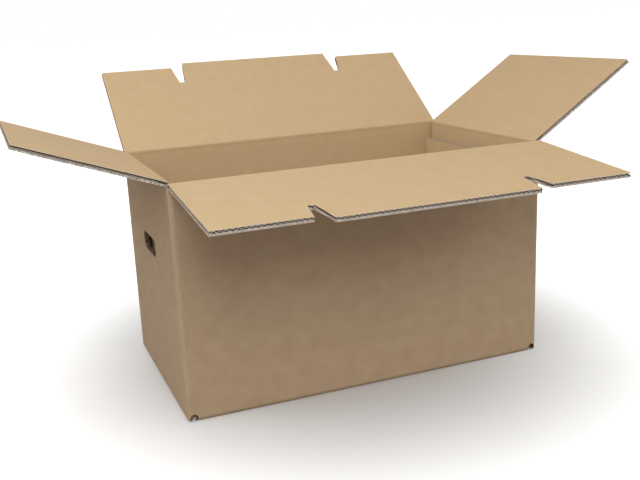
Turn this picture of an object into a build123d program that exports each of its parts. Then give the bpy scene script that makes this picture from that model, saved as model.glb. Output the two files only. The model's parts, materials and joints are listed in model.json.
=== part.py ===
from build123d import *
import math
import os

# Open moving box folded from one sheet of double-wall corrugated board.
# Millimetres, +Z up, X along the long walls, origin at the middle of the underside.

# Double-wall board: three liners with small flutes on the outside and large flutes on the inside
liner = 0.4
small_flute_height = 2.3
small_flute_pitch = 6.3
large_flute_height = 3.5
large_flute_pitch = 7.9
flute_paper = 0.5
flute_end_depth = 4.0

# Clear space inside
inner_length = 600.0
inner_width = 330.0
inner_height = 338.0
outer_corner_radius = 8.0
foot_radius = 7.0

# Gap between two layers that lie on each other
lap_gap = 0.3

# Scored creases of the top flaps: the board is crushed towards the hinge line
crease_reach = 14.0
crease_gap = 1.5
long_hinge_depth = 1.0
short_hinge_depth = 5.0

# Top flaps, measured from the hinge line to the free edge
long_flap_length = 213.0
short_flap_length = 213.0
long_flap_setback = 1.0
short_flap_clearance = 0.5

# Locking notches beside the tongue of each long flap
tongue_width = 311.0
tongue_extra = 12.0
tongue_taper = 7.0
notch_floor_width = 10.3
notch_depth = 43.5
side_taper = 7.4

# How far each flap is folded outwards, from standing upright
front_flap_angle = 95.9
back_flap_angle = 53.1
left_flap_angle = 70.1
right_flap_angle = 56.9

# Floor flaps: reach beyond the middle of the box, and clearance where they meet
floor_overlap = 42.0
floor_tongue_extra = 12.0
floor_clearance = 0.3

# End panels folded up inside the short walls
end_fold_gap = 0.5
end_panel_lean = 8.0
end_panel_top = 330.0
end_panel_clearance = 1.5
floor_end_clearance = 1.5

# Hand holes in the short walls and round ends of the bottom slots
hand_hole_width = 86.0
hand_hole_height = 29.0
hand_hole_radius = 12.0
hand_hole_level = 236.0
hand_hole_ease = 1.5
slot_end_diameter = 12.0
slot_cut_width = 3.0

# Worked out from the sizes above
board = 3 * liner + small_flute_height + large_flute_height
half_inner_length = inner_length / 2
half_inner_width = inner_width / 2
half_outer_length = half_inner_length + board
half_outer_width = half_inner_width + board
lap_rise = board + lap_gap
floor_top = board + lap_rise
short_hinge_z = floor_top + inner_height + short_hinge_depth
long_hinge_z = short_hinge_z + (board - short_hinge_depth) + long_hinge_depth + lap_gap
end_fold_radius = board + end_fold_gap / 2
floor_half_length = half_outer_length - 2 * end_fold_radius - floor_end_clearance
tongue_root_half = tongue_width / 2
side_root = tongue_root_half + notch_floor_width
cut_margin = 5.0


def crease_half(depth, length):
    """Section of a board from its crushed edge to its end.

    The hinge line is at (0, 0), the inner face at +depth, and both faces taper towards the hinge line.
    """
    outside = board - depth
    share = crease_gap / crease_reach
    return [
        (depth, crease_reach),
        (depth * share, crease_gap),
        (-outside * share, crease_gap),
        (-outside, crease_reach),
        (-outside, length),
        (depth, length),
    ]


def along_x(section, x_from, x_to):
    """Prism along X from a section given as (y, z) points."""
    face = make_face(Polyline(*[(0, y, z) for y, z in section], close=True))
    return Pos(x_from, 0, 0) * extrude(face, x_to - x_from, (1, 0, 0))


def wall_top_cut(depth, hinge_z, half_run):
    """What is removed above a wall's tapered rim, on the front side of a box centred on Z."""
    rim = [(y, -z) for y, z in crease_half(depth, crease_reach)[:4]]
    above = [(-board + depth - cut_margin, -crease_reach), (-board + depth - cut_margin, crease_reach)]
    section = rim + above + [(depth, crease_reach)]
    return Pos(0, 0, hinge_z) * along_x(section, -half_run, half_run)


def wall_ring():
    """The four walls, rounded at the upright corners and along the foot."""
    outside = RectangleRounded(2 * half_outer_length, 2 * half_outer_width, outer_corner_radius)
    inside = Rectangle(inner_length, inner_width)
    ring = extrude(outside - inside, long_hinge_z)
    block_height = 2 * long_hinge_z
    long_foot = Pos(0, 0, long_hinge_z) * Box(4 * half_outer_length, 2 * half_outer_width, block_height)
    end_foot = Pos(0, 0, long_hinge_z) * Box(2 * half_outer_length, 4 * half_outer_width, block_height)
    long_foot = fillet(long_foot.edges().filter_by(Axis.X).group_by(Axis.Z)[0], foot_radius)
    end_foot = fillet(end_foot.edges().filter_by(Axis.Y).group_by(Axis.Z)[0], end_fold_radius)
    ring = ring & long_foot & end_foot
    long_cut = wall_top_cut(long_hinge_depth, long_hinge_z, half_outer_length + cut_margin)
    long_cut = Pos(0, -half_inner_width - long_hinge_depth, 0) * long_cut
    short_cut = wall_top_cut(short_hinge_depth, short_hinge_z, half_outer_width + cut_margin)
    short_cut = Pos(0, -half_inner_length - short_hinge_depth, 0) * short_cut
    for turn in (0, 180):
        ring -= Rot(0, 0, turn) * long_cut
        ring -= Rot(0, 0, turn + 90) * short_cut
    return ring


def end_panel():
    """Left end panel: folded up from the foot of the short wall, leaning in towards its top edge."""
    fold_x = -half_outer_length + end_fold_radius
    inner_x = fold_x + end_fold_radius
    start = (fold_x, 0, 0)
    side = (inner_x, 0, end_fold_radius)
    bend = (fold_x + end_fold_radius * math.sin(math.pi / 4), 0, end_fold_radius * (1 - math.cos(math.pi / 4)))
    wall_x = -half_inner_length - board / 2
    outline = ThreePointArc(start, bend, side) + Polyline(
        side,
        (inner_x + end_panel_lean, 0, end_panel_top),
        (inner_x + end_panel_lean - board, 0, end_panel_top),
        (inner_x - board, 0, end_fold_radius),
        (wall_x, 0, end_fold_radius),
        (wall_x, 0, board / 4),
        start,
    )
    half_run = half_inner_width - end_panel_clearance
    return Pos(0, -half_run, 0) * extrude(make_face(outline), 2 * half_run, (0, 1, 0))


def floor_section(raised, reach):
    """Section of a floor flap as (y, z) points, from the front wall to its free edge."""
    lift = lap_rise if raised else 0.0
    ramp_end = -floor_overlap - floor_tongue_extra - floor_clearance
    return [
        (-half_inner_width - board / 2, 0),
        (-half_inner_width, 0),
        (ramp_end, lift),
        (reach, lift),
        (reach, lift + board),
        (ramp_end, lift + board),
        (-half_inner_width, board),
        (-half_inner_width - board / 2, board),
    ]


def floor_flap(tongue_raised):
    """Front floor flap: its tongue passes over or under the opposite flap's tongue."""
    tongue_reach = floor_overlap + floor_tongue_extra
    tip_half = tongue_root_half - tongue_taper
    tongue = along_x(floor_section(tongue_raised, tongue_reach), -tongue_root_half, tongue_root_half)
    outline = Polyline(
        (-tongue_root_half, -half_outer_width),
        (tongue_root_half, -half_outer_width),
        (tongue_root_half, 0),
        (tip_half, tongue_reach),
        (-tip_half, tongue_reach),
        (-tongue_root_half, 0),
        close=True,
    )
    flap = tongue & extrude(make_face(outline), 3 * board)
    near_edge = -floor_clearance
    for hand in (-1, 1):
        side = along_x(floor_section(not tongue_raised, floor_overlap), side_root, floor_half_length)
        cheek = Polyline(
            (side_root, -half_outer_width),
            (floor_half_length, -half_outer_width),
            (floor_half_length, floor_overlap),
            (side_root + side_taper, floor_overlap),
            (side_root, near_edge),
            close=True,
        )
        side = side & extrude(make_face(cheek), 3 * board)
        inner_end = [(tongue_root_half, y, z) for y, z in floor_section(tongue_raised, near_edge)]
        outer_end = [(side_root, y, z) for y, z in floor_section(not tongue_raised, near_edge)]
        step = loft(
            [make_face(Polyline(*inner_end, close=True)), make_face(Polyline(*outer_end, close=True))],
            ruled=True,
        )
        half = side + step
        flap += half if hand > 0 else mirror(half, about=Plane.YZ)
    return flap


def hand_hole(grow, x_from, x_to):
    """Rounded slot through a short wall, as a tool along X."""
    sketch = Plane.YZ * RectangleRounded(
        hand_hole_width + 2 * grow, hand_hole_height + 2 * grow, hand_hole_radius + grow
    )
    return Pos(x_from, 0, hand_hole_level) * extrude(sketch, x_to - x_from, (1, 0, 0))


def slot_end():
    """Round end of a bottom slot with the knife cut below it, through the front wall."""
    radius = slot_end_diameter / 2
    depth = board + cut_margin
    drill = Pos(0, -half_outer_width + board / 2, radius) * Rot(90, 0, 0) * Cylinder(radius, depth)
    knife = Pos(0, -half_outer_width + board / 2, 0) * Box(slot_cut_width, depth, slot_end_diameter)
    return Pos(floor_half_length + radius, 0, 0) * (drill + knife)


def carton():
    """Walls, floor flaps and end panels: one folded sheet."""
    body = wall_ring()
    left_panel = end_panel()
    panel_side = -half_inner_length
    left_panel -= hand_hole(hand_hole_ease, panel_side, panel_side + 4 * board)
    body += left_panel
    body += mirror(left_panel, about=Plane.YZ)
    body += floor_flap(True)
    body += Rot(0, 0, 180) * floor_flap(False)
    wall_hole = hand_hole(0, -half_outer_length - cut_margin, -half_inner_length)
    for tool in (wall_hole, slot_end(), mirror(slot_end(), about=Plane.YZ)):
        body -= tool
        body -= Rot(0, 0, 180) * tool
    return body


def flap_board(depth, length, half_run):
    """Flap standing upright on its hinge line, which runs along X through the origin."""
    return along_x(crease_half(depth, length), -half_run, half_run)


def flute_row(outer_face, height, pitch, both_sides, x_from, x_to, edge_level):
    """Open flute ends along one stretch of a free edge, as tools between the two liners of one flute layer.

    Every second flute end lies against the inner liner, unless only those on the outer liner are wanted.
    """
    spacing = pitch / 2 if both_sides else pitch
    half_base = pitch / 2 - flute_paper
    count = int((x_to - x_from - 2 * half_base) / spacing) + 1
    first_x = (x_from + x_to) / 2 - (count - 1) * spacing / 2
    tools = []
    for index in range(count):
        x = first_x + index * spacing
        on_inner_liner = both_sides and index % 2 == 1
        base = outer_face + height if on_inner_liner else outer_face
        tip = outer_face + flute_paper if on_inner_liner else outer_face + height - flute_paper
        corners = [(x - half_base, base), (x + half_base, base), (x, tip)]
        outline = Polyline(*[(cx, cy, edge_level) for cx, cy in corners], close=True)
        tools.append(extrude(make_face(outline), -flute_end_depth, (0, 0, 1)))
    return tools


def flute_ends(depth, x_from, x_to, edge_level):
    """Both rows of open flute ends along one stretch of a flap's free edge."""
    small_face = depth - board + liner
    large_face = small_face + small_flute_height + liner
    small_row = flute_row(small_face, small_flute_height, small_flute_pitch, False, x_from, x_to, edge_level)
    large_row = flute_row(large_face, large_flute_height, large_flute_pitch, True, x_from, x_to, edge_level)
    return small_row + large_row


def long_flap():
    """Long flap with a tongue between two slanted notches."""
    half_run = half_outer_length - long_flap_setback
    tongue_length = long_flap_length + tongue_extra
    notch_level = long_flap_length - notch_depth
    half_outline = [
        (half_run, 0),
        (half_run, long_flap_length),
        (side_root + side_taper, long_flap_length),
        (side_root, notch_level),
        (tongue_root_half, notch_level),
        (tongue_root_half - tongue_taper, tongue_length),
    ]
    outline = half_outline + [(-x, z) for x, z in reversed(half_outline)]
    face = make_face(Polyline(*[(x, 0, z) for x, z in outline], close=True))
    blank = Pos(0, 2 * board, 0) * extrude(face, 4 * board, (0, -1, 0))
    flap = flap_board(long_hinge_depth, tongue_length, half_run) & blank
    side_from = side_root + side_taper
    tip_half = tongue_root_half - tongue_taper
    tools = flute_ends(long_hinge_depth, -half_run, -side_from, long_flap_length)
    tools += flute_ends(long_hinge_depth, -tip_half, tip_half, tongue_length)
    tools += flute_ends(long_hinge_depth, side_from, half_run, long_flap_length)
    return flap - tools


def short_flap():
    """Plain short flap, narrow enough to close between the long walls."""
    half_run = half_inner_width - short_flap_clearance
    flap = flap_board(short_hinge_depth, short_flap_length, half_run)
    return flap - flute_ends(short_hinge_depth, -half_run, half_run, short_flap_length)


def place_flap(flap, turn, hinge_distance, hinge_z, angle):
    """Fold a flap outwards by its angle and set it on the wall that faces the given turn."""
    return Rot(0, 0, turn) * Pos(0, -hinge_distance, hinge_z) * Rot(angle, 0, 0) * flap


long_hinge_y = half_inner_width + long_hinge_depth
short_hinge_x = half_inner_length + short_hinge_depth

nodes = {
    "carton": carton(),
    "front_flap": place_flap(long_flap(), 0, long_hinge_y, long_hinge_z, front_flap_angle),
    "back_flap": place_flap(long_flap(), 180, long_hinge_y, long_hinge_z, back_flap_angle),
    "left_flap": place_flap(short_flap(), -90, short_hinge_x, short_hinge_z, left_flap_angle),
    "right_flap": place_flap(short_flap(), 90, short_hinge_x, short_hinge_z, right_flap_angle),
}

os.makedirs("parts", exist_ok=True)
for name, shape in nodes.items():
    export_step(shape, f"parts/{name}.step")

print("hinge lines: long", long_hinge_y, long_hinge_z, "short", short_hinge_x, short_hinge_z)
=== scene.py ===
import json
import math

import bpy
from mathutils import Matrix, Vector


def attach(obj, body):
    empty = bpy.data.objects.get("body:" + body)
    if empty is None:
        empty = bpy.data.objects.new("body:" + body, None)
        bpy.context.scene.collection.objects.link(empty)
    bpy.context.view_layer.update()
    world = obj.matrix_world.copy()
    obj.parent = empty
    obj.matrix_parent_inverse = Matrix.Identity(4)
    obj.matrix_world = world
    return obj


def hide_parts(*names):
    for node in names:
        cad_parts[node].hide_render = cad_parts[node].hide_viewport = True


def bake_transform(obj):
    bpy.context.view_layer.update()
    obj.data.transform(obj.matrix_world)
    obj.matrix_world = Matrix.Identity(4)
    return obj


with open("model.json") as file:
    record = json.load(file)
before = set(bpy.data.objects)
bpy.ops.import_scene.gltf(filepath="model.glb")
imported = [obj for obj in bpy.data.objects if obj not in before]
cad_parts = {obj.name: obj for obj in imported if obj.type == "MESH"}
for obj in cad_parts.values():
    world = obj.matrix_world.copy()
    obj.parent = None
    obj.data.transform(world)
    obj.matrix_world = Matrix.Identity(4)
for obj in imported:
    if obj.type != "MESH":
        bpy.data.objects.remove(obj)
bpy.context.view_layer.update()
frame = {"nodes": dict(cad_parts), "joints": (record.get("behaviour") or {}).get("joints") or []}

mm = 0.001  # the dictionaries hold mm, and the studio's holds metres
hinges = {joint["child"]: Vector(joint["pos_m"]) for joint in frame["joints"]}

# Double-wall board, from the inner face outwards: liner, large flutes, liner, small flutes, liner
board = {
    "thickness": 7.0,
    "liner": 0.4,
    "largeHeight": 3.5,
    "largePitch": 7.9,
    "smallHeight": 2.3,
    "smallPitch": 6.3,
    "flutePaper": 0.65,  # thicker than real fluting, to show
    "sideRecess": 1.2,  # how far the flutes stay back from an edge that runs along them
    "endRecess": 0.05,  # and from an edge that cuts them across
    "crushRecess": 0.5,  # how far the small flutes that the die crushed stay back
    "crushLoss": 0.1,  # and how much lower they are
}


def layerLevels(depth):  # middle of each layer of the board, with its inner face at depth
    inner = depth - board["liner"] / 2
    middle = depth - 1.5 * board["liner"] - board["largeHeight"]
    outer = depth - board["thickness"] + board["liner"] / 2
    return {
        "inner": inner,
        "large": (inner + middle) / 2,
        "middle": middle,
        "small": (middle + outer) / 2,
        "outer": outer,
    }


def pick(*objects):  # selects these and nothing else
    if bpy.context.object and bpy.context.object.mode != "OBJECT":
        bpy.ops.object.mode_set(mode="OBJECT")
    bpy.ops.object.select_all(action="DESELECT")
    for obj in objects:
        obj.select_set(True)
    bpy.context.view_layer.objects.active = objects[0]


def selectFaces(obj, wanted):  # by their centre in mm, and stays in edit mode
    pick(obj)
    bpy.ops.object.mode_set(mode="EDIT")
    bpy.ops.mesh.select_mode(type="FACE")
    bpy.ops.mesh.select_all(action="DESELECT")
    bpy.ops.object.mode_set(mode="OBJECT")
    for face in obj.data.polygons:
        face.select = wanted(face.center / mm)
    bpy.ops.object.mode_set(mode="EDIT")


def keepFaces(obj, wanted):  # deletes the others
    selectFaces(obj, lambda centre: not wanted(centre))
    bpy.ops.mesh.delete(type="FACE")
    bpy.ops.object.mode_set(mode="OBJECT")


def applyModifier(obj, kind, **settings):
    pick(obj)
    modifier = obj.modifiers.new(kind.title(), kind)
    for key, value in settings.items():
        setattr(modifier, key, value)
    bpy.ops.object.modifier_apply(modifier=modifier.name)


def applyPlace(obj):
    pick(obj)
    bpy.ops.object.transform_apply(location=True, rotation=True, scale=True)


def joinAll(name, parts):
    pick(*parts)
    bpy.ops.object.join()
    joined = bpy.context.object
    joined.name = name
    joined.data.name = name
    return joined


def bisectAlong(obj, start, end):  # cuts the whole mesh along a line between two (x, z) points in mm
    run = Vector((end[0] - start[0], 0, end[1] - start[1]))
    pick(obj)
    bpy.ops.object.mode_set(mode="EDIT")
    bpy.ops.mesh.select_all(action="SELECT")
    bpy.ops.mesh.bisect(
        plane_co=(start[0] * mm, 0, start[1] * mm),
        plane_no=run.cross(Vector((0, 1, 0))).normalized(),
    )
    bpy.ops.object.mode_set(mode="OBJECT")


def boardMap(mesh):  # the UV map that the liners and cut ends read, in metres
    return mesh.uv_layers.get("boardMap") or mesh.uv_layers.new(name="boardMap")


def mapPoints(obj, place):  # UV from each point by a rule
    layer = boardMap(obj.data)
    for loop in obj.data.loops:
        layer.data[loop.index].uv = place(obj.data.vertices[loop.vertex_index].co)


def hexColour(text):  # an sRGB hex value as linear light
    parts = [int(text[k:k + 2], 16) / 255 for k in (0, 2, 4)]
    return [c / 12.92 if c <= 0.04045 else ((c + 0.055) / 1.055) ** 2.4 for c in parts] + [1.0]


def addNode(owner, kind, inputs=None, stops=(), **settings):
    # one node with its settings; an input is a value or the output of another node, and stops are a ramp's
    node = owner.node_tree.nodes.new(kind)
    for key, value in settings.items():
        setattr(node, key, value)
    for key, value in (inputs or {}).items():
        if isinstance(value, bpy.types.NodeSocket):
            owner.node_tree.links.new(value, node.inputs[key])
        else:
            node.inputs[key].default_value = value
    if stops:
        elements = node.color_ramp.elements
        while len(elements) < len(stops):
            elements.new(0.5)
        for element, (place, colour) in zip(elements, stops):
            element.position = place
            element.color = hexColour(colour)
    return node


def newMaterial(name):
    material = bpy.data.materials.new(name)
    material.use_nodes = True
    material.node_tree.nodes.clear()
    return material


# Kraft liner: matt, machine-made, so its tone is cloudy and its fibres lie mostly across the flutes
kraftInside = {
    "light": "CAAF88",
    "mid": "C6AA83",
    "dark": "C2A67E",
    "pitch": board["largePitch"],
    "seed": 0.0,
}
kraftOutside = {
    "light": "BAA184",
    "mid": "B49A7D",
    "dark": "AD9376",
    "pitch": board["smallPitch"],
    "seed": 37.0,
}
paperLook = {
    "cloud": 26.0,  # mm, formation clouds
    "fibreLong": 5.0,
    "fibreWide": 0.9,  # drawn coarser than real fibres, to show
    "fibreShare": 0.45,  # of the tone, against the clouds
    "fibreBend": 0.6,
    "grain": 1.3,
    "grainHeight": 0.1,
    "washboard": 0.03,  # mm, how far the flutes show through
    "bump": 0.8,
    "roughness": 0.86,
    "roughnessSwing": 0.06,
    "specular": 0.3,
    "rampDark": 0.3,
    "rampMid": 0.5,
    "rampLight": 0.72,
}


def kraftLiner(name, look):
    material = newMaterial(name)
    flat = addNode(material, "ShaderNodeUVMap", uv_map="boardMap").outputs["UV"]
    shift = (look["seed"], look["seed"], 0)
    place = addNode(material, "ShaderNodeVectorMath", {0: flat, 1: shift}, operation="ADD").outputs[0]
    cloudScale = 1 / (paperLook["cloud"] * mm)
    cloud = addNode(
        material, "ShaderNodeTexNoise", {"Vector": place, "Scale": cloudScale, "Detail": 4.0}
    ).outputs["Fac"]
    fibreScale = (1 / (paperLook["fibreLong"] * mm), 1 / (paperLook["fibreWide"] * mm), 1)
    fibrePlace = addNode(material, "ShaderNodeMapping", {"Vector": place, "Scale": fibreScale}).outputs[0]
    fibre = addNode(
        material,
        "ShaderNodeTexNoise",
        {"Vector": fibrePlace, "Scale": 1.0, "Detail": 5.0, "Distortion": paperLook["fibreBend"]},
    ).outputs["Fac"]
    grainScale = 1 / (paperLook["grain"] * mm)
    grain = addNode(
        material, "ShaderNodeTexNoise", {"Vector": place, "Scale": grainScale, "Detail": 3.0}
    ).outputs["Fac"]
    mixed = addNode(
        material,
        "ShaderNodeMix",
        {"Factor": paperLook["fibreShare"], "A": cloud, "B": fibre},
        data_type="FLOAT",
    ).outputs[0]
    stops = (
        (paperLook["rampDark"], look["dark"]),
        (paperLook["rampMid"], look["mid"]),
        (paperLook["rampLight"], look["light"]),
    )
    tone = addNode(material, "ShaderNodeValToRGB", {"Fac": mixed}, stops).outputs["Color"]
    along = addNode(material, "ShaderNodeSeparateXYZ", {"Vector": place}).outputs["X"]
    turns = 2 * math.pi / (look["pitch"] * mm)
    phase = addNode(material, "ShaderNodeMath", {0: along, 1: turns}, operation="MULTIPLY").outputs[0]
    wave = addNode(material, "ShaderNodeMath", {0: phase}, operation="SINE").outputs[0]
    grainHeight = addNode(
        material, "ShaderNodeMath", {0: grain, 1: paperLook["grainHeight"] * mm}, operation="MULTIPLY"
    ).outputs[0]
    height = addNode(
        material,
        "ShaderNodeMath",
        {0: wave, 1: paperLook["washboard"] * mm, 2: grainHeight},
        operation="MULTIPLY_ADD",
    ).outputs[0]
    bump = addNode(
        material, "ShaderNodeBump", {"Strength": paperLook["bump"], "Distance": 1.0, "Height": height}
    ).outputs["Normal"]
    shine = addNode(
        material,
        "ShaderNodeMapRange",
        {
            "Value": fibre,
            "To Min": paperLook["roughness"] - paperLook["roughnessSwing"],
            "To Max": paperLook["roughness"] + paperLook["roughnessSwing"],
        },
    ).outputs[0]
    skin = addNode(
        material,
        "ShaderNodeBsdfPrincipled",
        {
            "Base Color": tone,
            "Roughness": shine,
            "Normal": bump,
            "Specular IOR Level": paperLook["specular"],
        },
    )
    addNode(material, "ShaderNodeOutputMaterial", {"Surface": skin.outputs["BSDF"]})
    return material


# Cut paper is rough, and short fibres stand out of the cut
linerEdge = {"light": "EDE4D8", "dark": "D2C4B2", "grain": 1.0}
fluting = {"light": "6A543E", "dark": "4E3D2D", "grain": 2.5}
fluteEdge = {"light": "EDE4D8", "dark": "CFC3B3", "grain": 1.0}
crushedFluting = {"light": "EDE6DC", "dark": "6B5E52", "grain": 3.0}
cutLook = {
    "roughness": 0.95,
    "specular": 0.2,
    "bump": 0.5,
    "bumpHeight": 0.1,
    "rampDark": 0.3,
    "rampLight": 0.7,
}


def rawPaper(name, look):
    material = newMaterial(name)
    place = addNode(material, "ShaderNodeTexCoord").outputs["Object"]
    grainScale = 1 / (look["grain"] * mm)
    fibre = addNode(
        material, "ShaderNodeTexNoise", {"Vector": place, "Scale": grainScale, "Detail": 3.0}
    ).outputs["Fac"]
    stops = ((cutLook["rampDark"], look["dark"]), (cutLook["rampLight"], look["light"]))
    tone = addNode(material, "ShaderNodeValToRGB", {"Fac": fibre}, stops).outputs["Color"]
    bump = addNode(
        material,
        "ShaderNodeBump",
        {"Strength": cutLook["bump"], "Distance": cutLook["bumpHeight"] * mm, "Height": fibre},
    ).outputs["Normal"]
    skin = addNode(
        material,
        "ShaderNodeBsdfPrincipled",
        {
            "Base Color": tone,
            "Roughness": cutLook["roughness"],
            "Normal": bump,
            "Specular IOR Level": cutLook["specular"],
        },
    )
    addNode(material, "ShaderNodeOutputMaterial", {"Surface": skin.outputs["BSDF"]})
    return material


# Cut end of the whole board, where it is too deep inside to be modelled: u runs along it and v across. The
# gaps between its layers are painted shade in near-black, and its paper is the board's brown painted
# darker as shade
cutEndLookWithPaintedShade = {"paintedShadeGap": "2A2018", "paper": "94806A", "fluteSpread": 1.6}


def cutBoardWithPaintedShade(name):
    material = newMaterial(name)
    flat = addNode(material, "ShaderNodeUVMap", uv_map="boardMap").outputs["UV"]
    split = addNode(material, "ShaderNodeSeparateXYZ", {"Vector": flat}).outputs
    paper = None
    for layer, level in layerLevels(board["thickness"]).items():
        middle = level * mm
        width = board["liner"]
        if layer in ("large", "small"):  # a flute swings between its liners
            width = board["flutePaper"] * cutEndLookWithPaintedShade["fluteSpread"]
            turns = 2 * math.pi / (board[layer + "Pitch"] * mm)
            phase = addNode(
                material, "ShaderNodeMath", {0: split["X"], 1: turns}, operation="MULTIPLY"
            ).outputs[0]
            wave = addNode(material, "ShaderNodeMath", {0: phase}, operation="COSINE").outputs[0]
            swing = (board[layer + "Height"] - board["flutePaper"]) / 2 * mm
            middle = addNode(
                material, "ShaderNodeMath", {0: wave, 1: swing, 2: level * mm}, operation="MULTIPLY_ADD"
            ).outputs[0]
        near = addNode(
            material, "ShaderNodeMath", {0: split["Y"], 1: middle, 2: width / 2 * mm}, operation="COMPARE"
        ).outputs[0]
        if paper is None:
            paper = near
        else:
            paper = addNode(
                material, "ShaderNodeMath", {0: paper, 1: near}, operation="MAXIMUM"
            ).outputs[0]
    # painted shade: near-black where no layer of paper lies, and the paper itself is painted darker
    stops = ((0.0, cutEndLookWithPaintedShade["paintedShadeGap"]), (1.0, cutEndLookWithPaintedShade["paper"]))
    tone = addNode(material, "ShaderNodeValToRGB", {"Fac": paper}, stops).outputs["Color"]
    skin = addNode(
        material,
        "ShaderNodeBsdfPrincipled",
        {
            "Base Color": tone,
            "Roughness": cutLook["roughness"],
            "Specular IOR Level": cutLook["specular"],
        },
    )
    addNode(material, "ShaderNodeOutputMaterial", {"Surface": skin.outputs["BSDF"]})
    return material


innerPaper = kraftLiner("kraftLinerInside", kraftInside)
outerPaper = kraftLiner("kraftLinerOutside", kraftOutside)
cutLiner = rawPaper("dieCutLinerEdge", linerEdge)
flutePaper = rawPaper("flutingPaper", fluting)
cutFlute = rawPaper("dieCutFluteEdge", fluteEdge)
crushedFlute = rawPaper("dieCrushedFlutes", crushedFluting)
cutEndWithPaintedShade = cutBoardWithPaintedShade("dieCutBoardEndPaintedShade")
print("materials ready")

# Each flap: turn is the wall it hangs on, open is its angle from upright
longFlap = {
    "halfRun": 306.0,
    "hingeDepth": 1.0,  # from the hinge line to the inner face
    "creaseReach": 14.0,  # how far the crease goes into the flap
    "edge": 213.0,
    "tongueEdge": 225.0,
    "tongueTip": 148.5,
    "tongueRoot": 155.5,
    "notchSide": 165.8,
    "sideTip": 173.2,
    "notchLevel": 169.5,
    "crestRadius": 5.0,
    "scoreDip": 0.3,  # how deep the scoring pressed the board beside the crest
    "creaseColumns": 80,
}
shortFlap = {
    "halfRun": 164.5,
    "hingeDepth": 5.0,
    "creaseReach": 14.0,
    "edge": 213.0,
    "crestRadius": 4.0,
    "scoreDip": 0.25,
    "creaseColumns": 44,
}
flaps = {
    "front": {"turn": 0, "open": 95.9, "shape": longFlap},
    "back": {"turn": 180, "open": 53.1, "shape": longFlap},
    "left": {"turn": -90, "open": 70.1, "shape": shortFlap},
    "right": {"turn": 90, "open": 56.9, "shape": shortFlap},
}
mapShift = 0.01  # m in u for each degree of turn, so that no two flaps show the same paper

panelMesh = {
    "columns": 60,
    "rows": 6,
    "crushedRows": 4,
    "fluteSteps": 8,  # flat pieces in one wave
    "sameColumn": 0.1,  # mm, within which a point belongs to a column of the wave
    "rippleColumns": 4,  # of the outer liner in one small flute
    "ripple": 0.35,  # mm, how far the outer liner follows its flutes at a cut
    "rippleReach": 6.0,
    "rippleLift": 0.4,
}


def edgeLevel(shape, x, recess=0.0):  # how far the board reaches at x, from the hinge line to its edge
    x = abs(x)
    if "tongueEdge" not in shape or x > shape["sideTip"]:
        return shape["edge"] - recess
    if x > shape["notchSide"]:
        share = (x - shape["notchSide"]) / (shape["sideTip"] - shape["notchSide"])
        return shape["notchLevel"] + share * (shape["edge"] - shape["notchLevel"]) - recess
    if x > shape["tongueRoot"]:
        return shape["notchLevel"] - recess
    share = (shape["tongueRoot"] - x) / (shape["tongueRoot"] - shape["tongueTip"])
    return shape["notchLevel"] + min(share, 1) * (shape["tongueEdge"] - shape["notchLevel"]) - recess


def cutOutline(sheet, shape, recess=0.0):  # die-cuts the free edge with its tongue and notches
    left, right = -shape["halfRun"], shape["halfRun"]
    edge = shape["edge"] - recess
    bisectAlong(sheet, (left, edge), (right, edge))
    if "tongueEdge" in shape:
        floor = shape["notchLevel"] - recess
        bisectAlong(sheet, (left, floor), (right, floor))
        tip = shape["tongueEdge"] - recess
        bisectAlong(sheet, (left, tip), (right, tip))
        for side in (-1, 1):
            root = side * shape["tongueRoot"]
            bisectAlong(sheet, (root, floor), (side * shape["tongueTip"], tip))
            outer = side * shape["notchSide"]
            bisectAlong(sheet, (outer, floor), (side * shape["sideTip"], edge))
    keepFaces(sheet, lambda centre: centre.z < edgeLevel(shape, centre.x, recess))


def insetShape(shape, recess):  # the same outline, moved in from every edge
    moved = dict(shape, halfRun=shape["halfRun"] - recess, edge=shape["edge"] - recess)
    if "tongueEdge" in shape:
        for key in ("tongueEdge", "tongueTip", "tongueRoot", "notchLevel"):
            moved[key] = shape[key] - recess
        for key in ("notchSide", "sideTip"):
            moved[key] = shape[key] + recess
    return moved


def uprightGrid(name, columns, rows, centre, width, height):  # centre is (x, y, z) in mm
    bpy.ops.mesh.primitive_grid_add(
        x_subdivisions=columns,
        y_subdivisions=rows,
        size=1,
        location=[place * mm for place in centre],
        rotation=(math.pi / 2, 0, 0),
    )
    sheet = bpy.context.object
    sheet.name = name
    sheet.scale = (width * mm, height * mm, 1)
    applyPlace(sheet)
    return sheet


def flatSheet(name, shape, level, columns, rows, start):  # paper as wide as the flap, without thickness
    top = shape.get("tongueEdge", shape["edge"])
    return uprightGrid(
        name, columns, rows, (0, level, (start + top) / 2), 2 * shape["halfRun"], top - start
    )


def flutedSheet(name, shape, level, height, pitch, start):  # one flute, repeated over the flap
    steps = panelMesh["fluteSteps"]
    top = shape.get("tongueEdge", shape["edge"])
    run = shape["halfRun"] - board["sideRecess"]
    count = int(2 * run / pitch) + 1
    first = -count * pitch / 2
    centre = (first + pitch / 2, level, (start + top) / 2)
    sheet = uprightGrid(name, steps, 1, centre, pitch, top - start)
    swing = (height - board["flutePaper"]) / 2
    for step in range(steps + 1):
        x = (first + pitch * step / steps) * mm
        for vertex in sheet.data.vertices:
            if abs(vertex.co.x - x) < panelMesh["sameColumn"] * mm:
                vertex.co.y = (level + swing * math.cos(2 * math.pi * step / steps)) * mm
    applyModifier(
        sheet,
        "ARRAY",
        count=count,
        use_relative_offset=False,
        use_constant_offset=True,
        constant_offset_displace=(pitch * mm, 0, 0),
        use_merge_vertices=True,
        merge_threshold=0.01 * mm,
    )
    for side in (-1, 1):
        bisectAlong(sheet, (side * run, 0), (side * run, top))
    keepFaces(sheet, lambda centre: abs(centre.x) < run)
    return sheet


def thicken(sheet, thickness, face, rim):  # rim is the finish of the cut edge
    sheet.data.materials.append(face)
    sheet.data.materials.append(rim)
    applyModifier(sheet, "SOLIDIFY", thickness=thickness * mm, offset=0, material_offset_rim=1)


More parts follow.
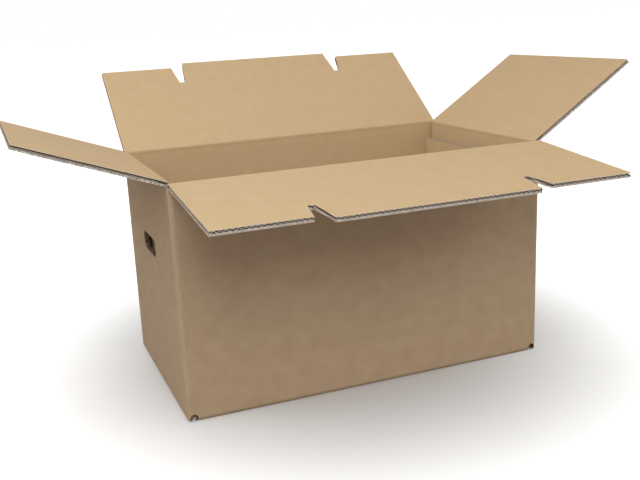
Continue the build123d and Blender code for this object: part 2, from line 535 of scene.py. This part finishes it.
def rippleOuter(sheet, shape):  # at a cut the outer liner follows the small flutes
    for vertex in sheet.data.vertices:
        fromEdge = edgeLevel(shape, vertex.co.x / mm) - vertex.co.z / mm
        wave = math.cos(2 * math.pi * vertex.co.x / mm / board["smallPitch"])
        lift = panelMesh["ripple"] * wave + panelMesh["rippleLift"]
        vertex.co.y += max(0, 1 - fromEdge / panelMesh["rippleReach"]) * lift * mm


def boardPanel(name, shape, start, shift, innerFace, outerFace):
    # an upright panel with its hinge line on X: three liners, two rows of flutes, and the crushed flutes
    levels = layerLevels(shape["hingeDepth"])
    rippled = int(2 * shape["halfRun"] / board["smallPitch"] * panelMesh["rippleColumns"])
    sheets = []
    for layer, face in (("inner", innerFace), ("middle", flutePaper), ("outer", outerFace)):
        columns = rippled if layer == "outer" else panelMesh["columns"]
        sheet = flatSheet(name + layer, shape, levels[layer], columns, panelMesh["rows"], start)
        cutOutline(sheet, shape)
        if layer == "outer":
            rippleOuter(sheet, shape)
        thicken(sheet, board["liner"], face, cutLiner)
        sheets.append(sheet)
    for layer in ("large", "small"):
        height = board[layer + "Height"]
        sheet = flutedSheet(name + layer, shape, levels[layer], height, board[layer + "Pitch"], start)
        cutOutline(sheet, shape, board["endRecess"])
        thicken(sheet, board["flutePaper"], flutePaper, cutFlute)
        sheets.append(sheet)
    crushed = insetShape(shape, board["crushRecess"])
    columns, rows = panelMesh["columns"], panelMesh["crushedRows"]
    sheet = flatSheet(name + "Crushed", crushed, levels["small"], columns, rows, start)
    cutOutline(sheet, crushed)
    thicken(sheet, board["smallHeight"] - board["crushLoss"], flutePaper, crushedFlute)
    sheets.append(sheet)
    panel = joinAll(name, sheets)
    mapPoints(panel, lambda point: (point.x + shift, point.z))
    return panel


def hingeDistance(flap, hinge):  # from the middle of the box to the hinge line
    return abs(hinge.y) if flap["shape"] is longFlap else abs(hinge.x)


def foldMatrix(flap, hinge):  # from the upright flap on the X axis to its place on the box
    turn = Matrix.Rotation(math.radians(flap["turn"]), 4, "Z")
    place = Matrix.Translation((0, -hingeDistance(flap, hinge), hinge.z))
    return turn @ place @ Matrix.Rotation(math.radians(flap["open"]), 4, "X")


for name, flap in flaps.items():
    reach = flap["shape"]["creaseReach"]
    shift = flap["turn"] * mapShift
    piece = boardPanel(name + "Flap", flap["shape"], reach, shift, innerPaper, outerPaper)
    piece.data.transform(foldMatrix(flap, hinges[name + "_flap"]))
    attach(piece, name + "_flap")
print("flaps ready")

# The walls are one folded sheet, rounded at its upright folds; the top creases start at creaseFoot
walls = {
    "halfLength": 307.0,
    "halfWidth": 172.0,
    "foldRadius": 8.0,
    "creaseFoot": 343.3,
    "postTop": 355.0,
    "postGap": 0.05,  # how far the corner posts stay inside the surface of the walls
    "lapRise": 7.3,  # from one layer of the floor to the next
}

# Layers of a crease from the inside out; the die crushed the flutes, so they are solid here
creaseLayers = {
    "inner": {"thickness": 0.4, "recess": 0.0, "steps": 6, "face": innerPaper, "rim": cutLiner},
    "large": {"thickness": 2.4, "recess": 1.2, "steps": 4, "face": flutePaper, "rim": flutePaper},
    "middle": {"thickness": 0.4, "recess": 0.0, "steps": 4, "face": flutePaper, "rim": cutLiner},
    "small": {"thickness": 2.1, "recess": 0.5, "steps": 4, "face": flutePaper, "rim": crushedFlute},
    "outer": {"thickness": 0.4, "recess": 0.0, "steps": 4, "face": outerPaper, "rim": cutLiner},
}
creaseRadius = {"large": 2.0, "middle": 1.5, "small": 1.2, "outer": 0.8}  # the inner one is the flap's own
creaseShape = {
    "dipShares": (0.1, 0.3, 0.5, 0.7, 0.9),
    "dipReach": 0.65,  # share of the run beside the crest that the scoring takes
    "blendReach": 1.5,  # mm on each side of the hinge line
}


def roundedCorner(corner, along, back, radius, steps):  # arc; along and back are unit vectors away from it
    half = along.angle(back) / 2
    reach = radius / math.tan(half)
    centre = corner + (along + back).normalized() * radius / math.sin(half)
    start = corner + back * reach - centre
    end = corner + along * reach - centre
    return [centre + start.slerp(end, step / steps) * radius for step in range(steps + 1)]


def creasePath(flap, level, radius, steps, foot, dip):
    # line of one layer from the wall round the fold to the flap, in mm, with the hinge at (0, 0, 0)
    turn = math.radians(flap["open"])
    along = Vector((0, -math.sin(turn), math.cos(turn)))
    normal = Vector((0, math.cos(turn), math.sin(turn)))
    wallEnd = Vector((0, level, -foot))
    flapEnd = along * flap["shape"]["creaseReach"] + normal * level
    corner = Vector((0, level, level * math.tan(turn / 2)))
    arc = roundedCorner(corner, along, Vector((0, 0, -1)), radius, steps)
    before, after = [], []
    reach = creaseShape["dipReach"]
    for share in creaseShape["dipShares"] if dip else ():
        sink = dip * math.sin(math.pi * share) ** 2
        before.append(wallEnd.lerp(arc[0], 1 - reach + reach * share) - Vector((0, sink, 0)))
        after.append(arc[-1].lerp(flapEnd, reach * share) - normal * sink)
    return [wallEnd] + before + arc + after + [flapEnd]


def sweepAlongX(name, points, halfRun, columns):  # extrudes an edge that runs along X from point to point
    bpy.ops.mesh.primitive_grid_add(x_subdivisions=columns, y_subdivisions=1, size=1)
    strip = bpy.context.object
    strip.name = name
    strip.scale = (2 * halfRun * mm, 1, 1)
    applyPlace(strip)
    bpy.ops.object.mode_set(mode="EDIT")
    bpy.ops.mesh.select_mode(type="VERT")
    bpy.ops.mesh.select_all(action="DESELECT")
    bpy.ops.object.mode_set(mode="OBJECT")
    for vertex in strip.data.vertices:
        vertex.select = vertex.co.y > 0
        vertex.co.y = 0
    bpy.ops.object.mode_set(mode="EDIT")
    bpy.ops.mesh.delete(type="VERT")  # one row of edges is left
    bpy.ops.mesh.select_all(action="SELECT")
    bpy.ops.transform.translate(value=points[0] * mm)
    for before, after in zip(points, points[1:]):
        bpy.ops.mesh.extrude_edges_move(TRANSFORM_OT_translate={"value": (after - before) * mm})
    bpy.ops.object.mode_set(mode="OBJECT")
    return strip


def mapRows(strip, points, start, end, shift):  # u along the crease, v from start to end round its section
    lengths = [0.0]
    for before, after in zip(points, points[1:]):
        lengths.append(lengths[-1] + (after - before).length)
    rows = []
    for vertex in strip.data.vertices:
        gaps = [(vertex.co.y / mm - p.y) ** 2 + (vertex.co.z / mm - p.z) ** 2 for p in points]
        rows.append(lengths[gaps.index(min(gaps))] / lengths[-1])
    layer = boardMap(strip.data)
    for loop in strip.data.loops:
        v = (start + rows[loop.vertex_index] * (end - start)) * mm
        layer.data[loop.index].uv = (strip.data.vertices[loop.vertex_index].co.x + shift, v)


def cornerDrop(x, halfRun, radius):  # how far a rounded upright fold lies behind the flat of the wall
    into = max(0.0, min(abs(x) - (halfRun - radius), radius))
    return radius - math.sqrt(radius * radius - into * into)


def crease(name, flap, hinge):  # the scored fold between a wall and its flap
    shape = flap["shape"]
    levels = layerLevels(shape["hingeDepth"])
    foot = hinge.z / mm - walls["creaseFoot"]
    sheets = []
    for layer, look in creaseLayers.items():
        radius = creaseRadius.get(layer, shape["crestRadius"])
        dip = shape["scoreDip"] if layer == "inner" else 0.0
        path = creasePath(flap, levels[layer], radius, look["steps"], foot, dip)
        halfRun = shape["halfRun"] - look["recess"]
        sheet = sweepAlongX(name + layer, path, halfRun, shape["creaseColumns"])
        mapRows(sheet, path, -foot, shape["creaseReach"], flap["turn"] * mapShift)
        if layer != "inner" and shape is longFlap:  # its ends follow the rounded folds of the walls
            for vertex in sheet.data.vertices:
                share = min(1.0, max(0.0, -vertex.co.z / mm / foot))
                drop = cornerDrop(vertex.co.x / mm, walls["halfLength"], walls["foldRadius"])
                vertex.co.y += drop * share * mm
        thicken(sheet, look["thickness"], look["face"], look["rim"])
        sheets.append(sheet)
    piece = joinAll(name, sheets)
    bpy.ops.object.shade_smooth_by_angle(angle=math.radians(40))
    turn = Matrix.Rotation(math.radians(flap["turn"]), 4, "Z")
    piece.data.transform(turn @ Matrix.Translation((0, -hingeDistance(flap, hinge), hinge.z)))
    return piece


for name, flap in flaps.items():
    middle = hinges[name + "_flap"]
    piece = crease(name + "Crease", flap, middle)
    turn = Matrix.Rotation(math.radians(flap["turn"]), 4, "Z")
    reach = creaseShape["blendReach"] * mm
    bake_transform(piece)
print("creases ready")

# End panels fold up inside the short walls and lean in; hinge line at the foot, on the face seen inside
endPanel = {
    "halfRun": 163.5,
    "hingeDepth": 7.0,
    "edge": 322.65,
    "footX": 292.5,
    "foot": 7.25,
    "lean": 8.0,
    "openFrom": 296.0,  # above this the open flutes of its top edge are modelled
    "innerX": 283.0,  # all of the panel lies between these
    "outerX": 299.7,
    "aboveZ": 8.0,  # and above this
    "sideSlack": 0.2,
    "topAbove": 30.0,  # nothing below this is touched when its top is cut off
}
panelLean = math.asin(endPanel["lean"] / endPanel["edge"])

# What is cut through the walls, and the room that the floor flaps take, in mm from the middle of the box
cuts = {
    "handHalfRun": 46.0,
    "handFoot": 218.0,
    "handTop": 254.0,
    "slotTop": 13.0,
    "slotFrom": 289.0,
    "slotTo": 304.0,
    "slotWall": 165.0,
    "floorTop": 22.0,
    "floorHalfLength": 292.0,
    "floorHalfWidth": 164.9,
    "floorShift": 900.0,  # in v, so that the floor shows other paper than the walls
    "underside": 1.0,
}

# Share of an axis in a face's normal: small if the face lies along the axis, large if it looks along it
facing = {"along": 0.3, "upright": 0.5, "towards": 0.7, "level": 0.75, "square": 0.9}


def inPanelX(centre):  # between the inner and outer faces of an end panel
    return endPanel["innerX"] < abs(centre.x) < endPanel["outerX"] and centre.z > endPanel["aboveZ"]


def shellFinish(centre, normal):  # which paper a face shows, and which axes u and v of its UV map follow
    x, y = abs(centre.x), abs(centre.y)
    outward = normal.x * centre.x + normal.y * centre.y > 0
    inPanel = inPanelX(centre) and y < endPanel["halfRun"] + endPanel["sideSlack"]
    inHand = y < cuts["handHalfRun"] and cuts["handFoot"] < centre.z < cuts["handTop"]
    if inHand and abs(normal.x) < facing["along"] and x > endPanel["innerX"]:
        return "cut", ("y" if abs(normal.z) > facing["towards"] else "z"), "depthX"
    inSlot = centre.z < cuts["slotTop"] and cuts["slotFrom"] < x < cuts["slotTo"] and y > cuts["slotWall"]
    if inSlot and abs(normal.y) < facing["along"]:
        return "cut", "z", "depthY"
    if inPanel and abs(normal.y) > facing["square"]:
        return "cut", "none", "depthPanel"
    if inPanel:
        return "inner", "y", "z"
    if centre.z < cuts["floorTop"] and x < cuts["floorHalfLength"] and y < cuts["floorHalfWidth"]:
        if abs(normal.z) < facing["upright"]:
            return "cut", ("x" if abs(normal.y) > facing["towards"] else "none"), "depthZ"
        return ("inner" if normal.z > 0 else "outer"), "x", "y"
    if abs(normal.z) > facing["level"] and centre.z < cuts["underside"]:
        return "outer", "x", "y"
    return ("outer" if outward else "inner"), ("x" if abs(normal.y) > abs(normal.x) else "y"), "z"


def cutDepth(point, centre, axis):  # how deep a point of a cut edge lies in the board, from its outside
    panelFace = endPanel["footX"] - (point.z - endPanel["foot"]) * math.tan(panelLean)
    if axis == "depthY":
        return walls["halfWidth"] - abs(point.y)
    if axis == "depthZ":
        return point.z % walls["lapRise"]
    if axis == "depthX" and abs(centre.x) > endPanel["outerX"]:
        return walls["halfLength"] - abs(point.x)
    return abs(point.x) - panelFace


def shellUv(point, centre, paper, alongAxis, acrossAxis):  # in mm
    if paper == "cut":
        u = {"x": point.x, "y": point.y, "z": point.z, "none": 0.0}[alongAxis]
        return u, cutDepth(point, centre, acrossAxis)
    if acrossAxis == "y":  # floor and underside
        return point.x, point.y + cuts["floorShift"]
    if inPanelX(centre):
        return point.y, point.z - endPanel["foot"]
    if alongAxis == "x":
        wall = "front" if centre.y < 0 else "back"
        along = point.x if wall == "front" else -point.x
    else:
        wall = "left" if centre.x < 0 else "right"
        along = point.y if wall == "right" else -point.y
    return along + flaps[wall]["turn"] * mapShift / mm, point.z - hinges[wall + "_flap"].z / mm


def cartonWalls():  # the folded sheet up to its top creases: walls, floor flaps, end panels, hand holes
    mesh = frame["nodes"]["carton"].data.copy()
    shell = bpy.data.objects.new("cartonWalls", mesh)
    bpy.context.scene.collection.objects.link(shell)
    mesh.materials.clear()
    for material in (innerPaper, outerPaper, cutEndWithPaintedShade):
        mesh.materials.append(material)
    pick(shell)
    bpy.ops.object.mode_set(mode="EDIT")
    bpy.ops.mesh.select_all(action="SELECT")
    bpy.ops.mesh.remove_doubles(threshold=0.002 * mm)
    bpy.ops.mesh.customdata_custom_splitnormals_clear()
    bpy.ops.mesh.bisect(
        plane_co=(0, 0, walls["creaseFoot"] * mm), plane_no=(0, 0, 1), clear_outer=True
    )
    bpy.ops.mesh.bridge_edge_loops()  # closes the ring between the two rims that the cut leaves selected
    bpy.ops.object.mode_set(mode="OBJECT")
    halfRun = endPanel["halfRun"] + endPanel["sideSlack"]
    for side in (-1, 1):  # the end panels' tops are made again with their flutes open
        selectFaces(
            shell,
            lambda c: endPanel["innerX"] < side * c.x < endPanel["outerX"]
            and c.z > endPanel["topAbove"]
            and abs(c.y) < halfRun,
        )
        x = endPanel["footX"] - endPanel["openFrom"] * math.sin(panelLean)
        z = endPanel["foot"] + endPanel["openFrom"] * math.cos(panelLean)
        bpy.ops.mesh.bisect(
            plane_co=Vector((side * x, 0, z)) * mm,
            plane_no=(-side * math.sin(panelLean), 0, math.cos(panelLean)),
            use_fill=True,
            clear_outer=True,
        )
        bpy.ops.object.mode_set(mode="OBJECT")
    pick(shell)
    bpy.ops.object.shade_smooth_by_angle(angle=math.radians(35))
    layer = boardMap(mesh)
    for face in mesh.polygons:
        centre = face.center / mm
        paper, alongAxis, acrossAxis = shellFinish(centre, face.normal)
        face.material_index = ("inner", "outer", "cut").index(paper)
        for index in face.loop_indices:
            point = mesh.vertices[mesh.loops[index].vertex_index].co / mm
            u, v = shellUv(point, centre, paper, alongAxis, acrossAxis)
            layer.data[index].uv = (u * mm, v * mm)
    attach(shell, "carton")
    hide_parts("carton")


# Inside each upright fold the liner is pinched into a narrow ridge, widest at the top
pinch = {
    "halfLength": 300.0,
    "halfWidth": 165.0,
    "foot": 318.0,
    "top": 351.5,
    "width": 9.5,
    "fromCorner": 2.5,
    "rise": 1.8,
    "footWidth": 0.25,  # shares of the width and the rise that are left at its foot
    "footRise": 0.3,
    "rows": 8,
    "profile": (0.0, 0.55, 1.0, 0.5, 0.15, 0.5, 1.0, 0.5, 0.0),  # two crests with a crack between them
}


def foldPinch(name, sideX, sideY):
    columns = len(pinch["profile"]) - 1
    bpy.ops.mesh.primitive_grid_add(x_subdivisions=columns, y_subdivisions=pinch["rows"], size=1)
    ridge = bpy.context.object
    ridge.name = name
    for vertex in ridge.data.vertices:
        across, up = vertex.co.x + 0.5, vertex.co.y + 0.5
        width = pinch["width"] * (pinch["footWidth"] + (1 - pinch["footWidth"]) * up)
        fullRise = pinch["rise"] * (pinch["footRise"] + (1 - pinch["footRise"]) * up)
        rise = pinch["profile"][round(across * columns)] * fullRise
        x = pinch["halfLength"] - pinch["fromCorner"] - width * across
        vertex.co.x = sideX * x * mm
        vertex.co.y = sideY * (pinch["halfWidth"] - rise) * mm
        vertex.co.z = (pinch["foot"] + (pinch["top"] - pinch["foot"]) * up) * mm
    ridge.data.materials.append(innerPaper)
    pick(ridge)
    bpy.ops.object.shade_smooth()
    mapPoints(ridge, lambda point: (point.x, point.z))
    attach(ridge, "carton")


def cornerPost(name, sideX, sideY):  # rounded corner of the board between the ends of two top creases
    radius = walls["foldRadius"] - walls["postGap"]
    foot, top = walls["creaseFoot"] - walls["postGap"], walls["postTop"]
    x = sideX * (walls["halfLength"] - walls["foldRadius"])
    y = sideY * (walls["halfWidth"] - walls["foldRadius"])
    bpy.ops.mesh.primitive_cylinder_add(
        vertices=64,
        radius=radius * mm,
        depth=(top - foot) * mm,
        location=(x * mm, y * mm, (top + foot) / 2 * mm),
    )
    post = bpy.context.object
    post.name = name
    applyPlace(post)
    bpy.ops.object.mode_set(mode="EDIT")
    for point, side in ((pinch["halfLength"], (sideX, 0, 0)), (pinch["halfWidth"], (0, sideY, 0))):
        bpy.ops.mesh.select_all(action="SELECT")
        bpy.ops.mesh.bisect(
            plane_co=Vector(side) * point * mm, plane_no=side, use_fill=True, clear_inner=True
        )
    bpy.ops.object.mode_set(mode="OBJECT")
    post.data.materials.append(outerPaper)
    bpy.ops.object.shade_smooth_by_angle(angle=math.radians(40))
    mapPoints(post, lambda point: (point.x - point.y, point.z))
    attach(post, "carton")


cartonWalls()
for endName, sideX in (("Left", -1), ("Right", 1)):
    for longName, sideY in (("Front", -1), ("Back", 1)):
        cornerPost("cornerPost" + endName + longName, sideX, sideY)
        foldPinch("foldPinch" + endName + longName, sideX, sideY)
for endName, turn in (("left", 90), ("right", -90)):
    top = boardPanel(endName + "EndPanelTop", endPanel, endPanel["openFrom"], 0.0, innerPaper, innerPaper)
    stand = Matrix.Translation((0, endPanel["footX"] * mm, endPanel["foot"] * mm))
    leaning = stand @ Matrix.Rotation(panelLean, 4, "X")
    top.data.transform(Matrix.Rotation(math.radians(turn), 4, "Z") @ leaning)
    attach(top, "carton")
print("carton ready")

# Camera at the photograph's viewing angle
photo = {
    "width": 640,
    "height": 480,
    "focal": 844.57,  # in pixels, as the next is
    "centre": (288.86, 236.37),
    "sensor": 36,
    "azimuth": -19.89,
    "elevation": 14.67,
    "roll": -3.04,
    "place": (-541.66, -1301.08, 576.87),  # mm
}


def addCamera():
    azimuth, elevation = math.radians(photo["azimuth"]), math.radians(photo["elevation"])
    level = math.cos(elevation)
    back = Vector((math.sin(azimuth) * level, -math.cos(azimuth) * level, math.sin(elevation)))
    right = (-back).cross(Vector((0, 0, 1))).normalized()
    up = right.cross(-back)
    roll = math.radians(photo["roll"])
    rightRolled = math.cos(roll) * right + math.sin(roll) * up
    upRolled = -math.sin(roll) * right + math.cos(roll) * up
    axes = Matrix((rightRolled, upRolled, back)).transposed().to_4x4()
    camera = bpy.data.objects.new("camera", bpy.data.cameras.new("camera"))
    bpy.context.scene.collection.objects.link(camera)
    camera.matrix_world = Matrix.Translation(Vector(photo["place"]) * mm) @ axes
    camera.data.sensor_width = photo["sensor"]
    camera.data.lens = photo["focal"] * photo["sensor"] / photo["width"]
    camera.data.shift_x = (photo["width"] / 2 - photo["centre"][0]) / photo["width"]
    camera.data.shift_y = (photo["centre"][1] - photo["height"] / 2) / photo["width"]
    bpy.context.scene.camera = camera


# Studio: pale floor in a white room, with five large soft boxes; metres and watts
studio = {
    "floorSize": 60.0,
    "floorLevel": -0.0005,
    "floor": "C4C3C1",
    "floorRoughness": 0.9,
    "glowFrom": 0.15,  # from the box, where the floor starts to fade to white
    "glowTo": 0.8,
    "roomLow": 0.0,  # light from the horizon
    "roomHigh": 0.55,  # and from straight above
    "lampSize": 1.1,
    "lampAim": (0, 0, 0.3),
    "lamps": {
        "softBoxFront": {"power": 22.0, "place": (-0.5, -1.75, 1.55)},
        "softBoxAbove": {"power": 6.5, "place": (-1.1, 0.1, 1.8)},
        "softBoxRight": {"power": 10.5, "place": (1.6, -1.0, 1.1)},
        "softBoxLeft": {"power": 12.0, "place": (-2.0, -0.1, 1.3)},
        "softBoxBack": {"power": 7.0, "place": (-0.4, 2.0, 1.4)},
    },
}
white = (1, 1, 1, 1)


def addFloor():
    bpy.ops.mesh.primitive_plane_add(size=studio["floorSize"], location=(0, 0, studio["floorLevel"]))
    floor = bpy.context.object
    floor.name = "studioFloor"
    material = newMaterial("studioPaper")
    seen = addNode(material, "ShaderNodeLightPath").outputs["Is Camera Ray"]
    place = addNode(material, "ShaderNodeTexCoord").outputs["Object"]
    away = addNode(material, "ShaderNodeVectorMath", {0: place}, operation="LENGTH").outputs["Value"]
    fade = addNode(
        material,
        "ShaderNodeMapRange",
        {"Value": away, "From Min": studio["glowFrom"], "From Max": studio["glowTo"], "To Max": seen},
        interpolation_type="SMOOTHSTEP",
    ).outputs[0]
    skin = addNode(
        material,
        "ShaderNodeBsdfPrincipled",
        {
            "Base Color": hexColour(studio["floor"]),
            "Roughness": studio["floorRoughness"],
            "Emission Color": white,
            "Emission Strength": fade,
        },
    )
    addNode(material, "ShaderNodeOutputMaterial", {"Surface": skin.outputs["BSDF"]})
    floor.data.materials.append(material)


def addRoom():  # light that grows towards straight above, in front of a plain white backdrop
    room = bpy.data.worlds.new("studioRoom")
    bpy.context.scene.world = room
    room.use_nodes = True
    room.node_tree.nodes.clear()
    direction = addNode(room, "ShaderNodeTexCoord").outputs["Generated"]
    height = addNode(room, "ShaderNodeSeparateXYZ", {"Vector": direction}).outputs["Z"]
    light = addNode(
        room,
        "ShaderNodeMapRange",
        {"Value": height, "To Min": studio["roomLow"], "To Max": studio["roomHigh"]},
    ).outputs[0]
    seen = addNode(room, "ShaderNodeLightPath").outputs["Is Camera Ray"]
    strength = addNode(
        room, "ShaderNodeMix", {"Factor": seen, "A": light, "B": 1.0}, data_type="FLOAT"
    ).outputs[0]
    backdrop = addNode(room, "ShaderNodeBackground", {"Color": white, "Strength": strength})
    addNode(room, "ShaderNodeOutputWorld", {"Surface": backdrop.outputs["Background"]})


def addLamps():
    for name, lamp in studio["lamps"].items():
        softBox = bpy.data.objects.new(name, bpy.data.lights.new(name, "AREA"))
        bpy.context.scene.collection.objects.link(softBox)
        softBox.data.size = studio["lampSize"]
        softBox.data.energy = lamp["power"]
        place = Vector(lamp["place"])
        aim = (Vector(studio["lampAim"]) - place).to_track_quat("-Z", "Y")
        softBox.matrix_world = Matrix.Translation(place) @ aim.to_matrix().to_4x4()


addCamera()
addFloor()
addRoom()
addLamps()
bpy.context.scene.view_settings.view_transform = "Standard"
print("studio ready")

for name in flaps:
    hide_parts(name + "_flap")
